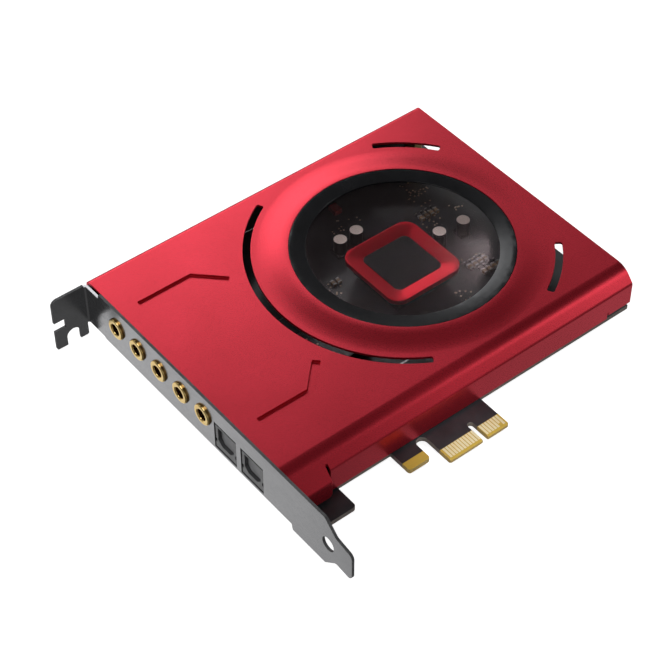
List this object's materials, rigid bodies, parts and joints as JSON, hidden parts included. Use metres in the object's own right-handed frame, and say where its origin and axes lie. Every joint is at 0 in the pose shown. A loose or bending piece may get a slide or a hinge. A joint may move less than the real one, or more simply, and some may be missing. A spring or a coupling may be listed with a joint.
{
  "type": "sound card",
  "caption": "Slot-in computer sound card: board with plug edge, folded metal cover with round window, slot bracket with round jacks and shuttered optical sockets.",
  "frame": {"origin": "centre of the key notch on the plug edge, half way through the board's thickness", "axes": "+X along the board away from the bracket, +Y away from the plug edge, +Z out of the component side"},
  "size_m": [0.1356, 0.1207, 0.0203],
  "materials": {
    "black_laminate": "satin solder mask",
    "gold_plate": "polished plating",
    "nickel_steel": "satin plating",
    "red_paint": "metallic satin paint",
    "black_gloss": "gloss",
    "clear_sheet": "clear",
    "black_anodised": "anodised",
    "chip_resin": "matt moulded",
    "bare_aluminium": "bare",
    "tan_ceramic": "sintered",
    "black_plastic": "moulded",
    "grey_plastic": "moulded",
    "red_lens": "moulded",
    "solder": "reflowed",
    "brass": "turned"
  },
  "bodies": {
    "card": {"board": "black_laminate", "edge_contacts": "gold_plate", "bracket": "nickel_steel", "cover": "red_paint", "window_bezel": "black_gloss", "window_disc": "clear_sheet", "badge_frame": "red_paint", "badge_insert": "black_gloss", "heat_spreader": "black_anodised", "audio_processor": "chip_resin", "converter_chip": "chip_resin", "amplifier_chips": "chip_resin", "electrolytic_cans": "bare_aluminium", "ceramic_capacitors": "tan_ceramic", "chip_resistors": "chip_resin", "crystal": "bare_aluminium", "voltage_regulators": "chip_resin", "output_relay": "black_plastic", "indicator_lights": "red_lens", "jack_contacts": "gold_plate", "solder_joints": "solder", "cover_standoffs": "brass", "cover_screws": "nickel_steel", "bracket_screws": "nickel_steel", "bracket_nut": "brass", "jack_body_1": "black_plastic", "jack_collar_1": "gold_plate", "jack_body_2": "black_plastic", "jack_collar_2": "gold_plate", "jack_body_3": "black_plastic", "jack_collar_3": "gold_plate", "jack_body_4": "black_plastic", "jack_collar_4": "gold_plate", "jack_body_5": "black_plastic", "jack_collar_5": "gold_plate", "optical_housing_1": "black_plastic", "shutter_spring_1": "nickel_steel", "optical_emitter_1": "black_plastic", "optical_housing_2": "black_plastic", "shutter_spring_2": "nickel_steel", "optical_emitter_2": "black_plastic"},
    "shutter_1": {"optical_shutter_1": "grey_plastic"},
    "shutter_2": {"optical_shutter_2": "grey_plastic"}
  },
  "joints": [
    {"name": "shutter_1_hinge", "type": "hinge", "parent": "card", "child": "shutter_1", "pos_m": [-0.05605, 0.03945, 0.0091], "axis": [0, -1, 0], "range_deg": [0, 85], "stiffness_Nm_per_rad": 0.0004, "springref_deg": -11.46},
    {"name": "shutter_2_hinge", "type": "hinge", "parent": "card", "child": "shutter_2", "pos_m": [-0.05605, 0.02764, 0.0091], "axis": [0, -1, 0], "range_deg": [0, 85], "stiffness_Nm_per_rad": 0.0004, "springref_deg": -11.46}
  ]
}
